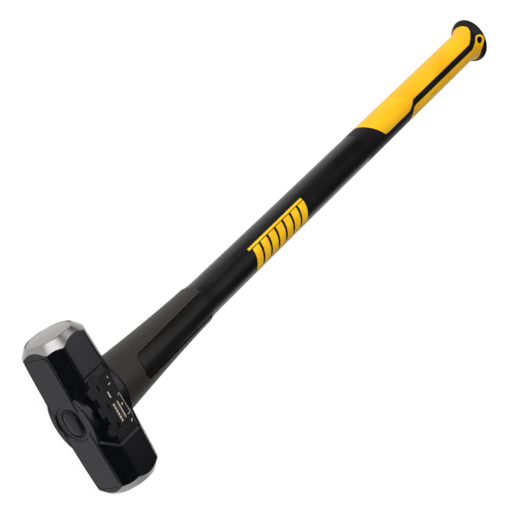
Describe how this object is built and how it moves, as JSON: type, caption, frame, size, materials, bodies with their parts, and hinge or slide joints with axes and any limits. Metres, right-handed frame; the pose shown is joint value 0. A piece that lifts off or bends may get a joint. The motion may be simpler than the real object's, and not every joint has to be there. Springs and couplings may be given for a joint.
{
  "type": "sledgehammer",
  "caption": "Long-handled sledgehammer: double-faced octagonal forged head on a composite shaft with overstrike collar and two-colour rubber grip with lanyard hole.",
  "frame": {"origin": "centre of the hammer's box, on the surface that it lies on", "axes": "+X along the handle from head to butt, +Y along the head, +Z out of the upper cheek as the hammer lies on its side"},
  "size_m": [0.915, 0.178, 0.0662],
  "materials": {
    "head_enamel": "satin black enamel on forged steel, faces and bevels left bare and turned bright",
    "plug_resin": "satin black moulded plug",
    "bond_resin": "cast epoxy, hidden in the eye",
    "rod_composite": "pultruded glass fibre rod, hidden",
    "shaft_jacket": "smooth satin black moulded composite",
    "collar_moulding": "warm grey-black moulding with a fine ribbed texture",
    "grip_rubber": "matte black overmoulded rubber",
    "bright_rubber": "soft matte yellow overmoulded rubber",
    "bright_print": "flat yellow printed film",
    "label_print": "black label film with thin pale line work"
  },
  "bodies": {
    "root": {"head": "head_enamel", "eye_plug": "plug_resin", "eye_bond": "bond_resin", "core_rod": "rod_composite", "shaft": "shaft_jacket", "collar": "collar_moulding", "grip": "grip_rubber", "front_panel": "bright_rubber", "rear_panel": "bright_rubber", "shaft_mark": "bright_print", "cheek_label": "label_print"}
  },
  "joints": []
}
